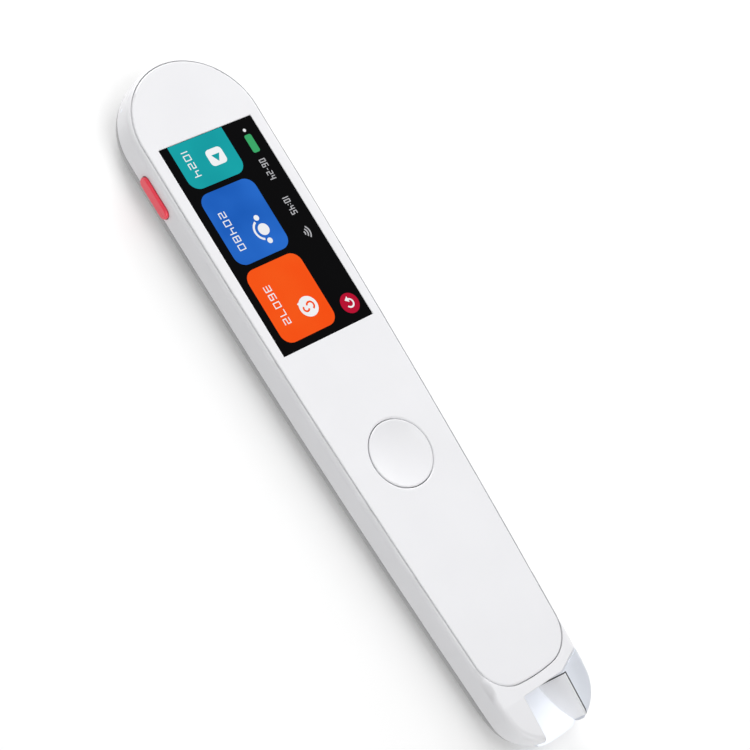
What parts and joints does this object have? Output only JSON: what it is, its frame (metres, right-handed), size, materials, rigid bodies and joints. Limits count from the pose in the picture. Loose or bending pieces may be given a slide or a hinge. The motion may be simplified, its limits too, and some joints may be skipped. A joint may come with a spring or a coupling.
{
  "type": "electronic dictionary pen",
  "caption": "Electronic dictionary pen with a screen, a round button, a side key and a translucent reading tip with a notch",
  "frame": {"origin": "on the flat back, at the middle of the pen's length and width", "axes": "X along the pen towards the reading tip, Y to the pen's right side, Z out of the screen"},
  "size_m": [0.1499, 0.0305, 0.0104],
  "materials": {
    "white_plastic": "bright white, glossy",
    "silver_cover": "silver lacquer, satin",
    "adhesive": "dark film",
    "black_glass": "black, polished",
    "panel_glass": "dark, flat",
    "white_plastic_inner": "milky white",
    "steel": "plain",
    "flex": "amber film",
    "connector": "cream, moulded",
    "rubber": "soft, dark",
    "red_plastic": "red, glossy",
    "clear_plastic": "translucent, bluish white",
    "grey_plastic": "light grey, matte",
    "dark_glass": "dark, polished",
    "board": "green lacquer",
    "chip": "black, moulded",
    "black_plastic": "black, matte",
    "lens_glass": "coated, polished",
    "led": "pale yellow",
    "shield": "tinned",
    "ceramic": "tan ceramic",
    "battery_foil": "foil pouch",
    "red_lead": "insulated",
    "mesh": "fine woven, dark",
    "magnet": "nickel plated",
    "antenna_film": "printed film"
  },
  "bodies": {
    "casing": {"front_frame": "white_plastic", "back_cover": "silver_cover", "front_plate": "white_plastic", "plate_adhesive": "adhesive", "screen_glass": "black_glass", "display_panel": "panel_glass", "display_backlight": "white_plastic_inner", "display_tray": "steel", "display_flex": "flex", "display_plug": "connector", "home_switch": "steel", "power_switch": "connector", "nose_spring": "steel", "trigger_switch": "connector", "lens_window": "dark_glass", "camera_board": "board", "image_sensor": "chip", "lens_barrel": "black_plastic", "camera_lens": "lens_glass", "camera_flex": "flex", "led_board": "board", "scan_leds": "led", "main_board": "board", "board_screws": "steel", "processor": "chip", "memory_chip": "chip", "storage_chip": "chip", "power_chip": "chip", "radio_module": "shield", "shield_can": "shield", "passive_parts": "ceramic", "battery_cell": "battery_foil", "battery_tape": "adhesive", "battery_board": "board", "battery_leads": "red_lead", "battery_plug": "connector", "grille_mesh": "mesh", "speaker_gasket": "rubber", "speaker_basket": "shield", "speaker_cone": "black_plastic", "speaker_magnet": "magnet", "speaker_leads": "red_lead", "usb_shell": "steel", "usb_tongue": "black_plastic", "microphone": "shield", "mic_gasket": "rubber", "status_led": "led", "light_pipe": "clear_plastic", "antenna": "antenna_film"},
    "home_key": {"home_button": "white_plastic", "home_plunger": "rubber"},
    "power_key": {"power_button": "red_plastic", "power_plunger": "rubber"},
    "nose": {"nose_window": "clear_plastic", "nose_liner": "grey_plastic", "nose_shade": "black_plastic", "nose_slider": "grey_plastic"}
  },
  "joints": [
    {"name": "home_press", "type": "slide", "parent": "casing", "child": "home_key", "axis": [0, 0, -1], "range_m": [0, 0.00035], "stiffness_N_per_m": 900},
    {"name": "power_press", "type": "slide", "parent": "casing", "child": "power_key", "axis": [0, 1, 0], "range_m": [0, 0.0003], "stiffness_N_per_m": 900},
    {"name": "nose_press", "type": "slide", "parent": "casing", "child": "nose", "axis": [-1, 0, 0], "range_m": [0, 0.0003], "stiffness_N_per_m": 900, "deforming": ["nose_spring"]}
  ]
}
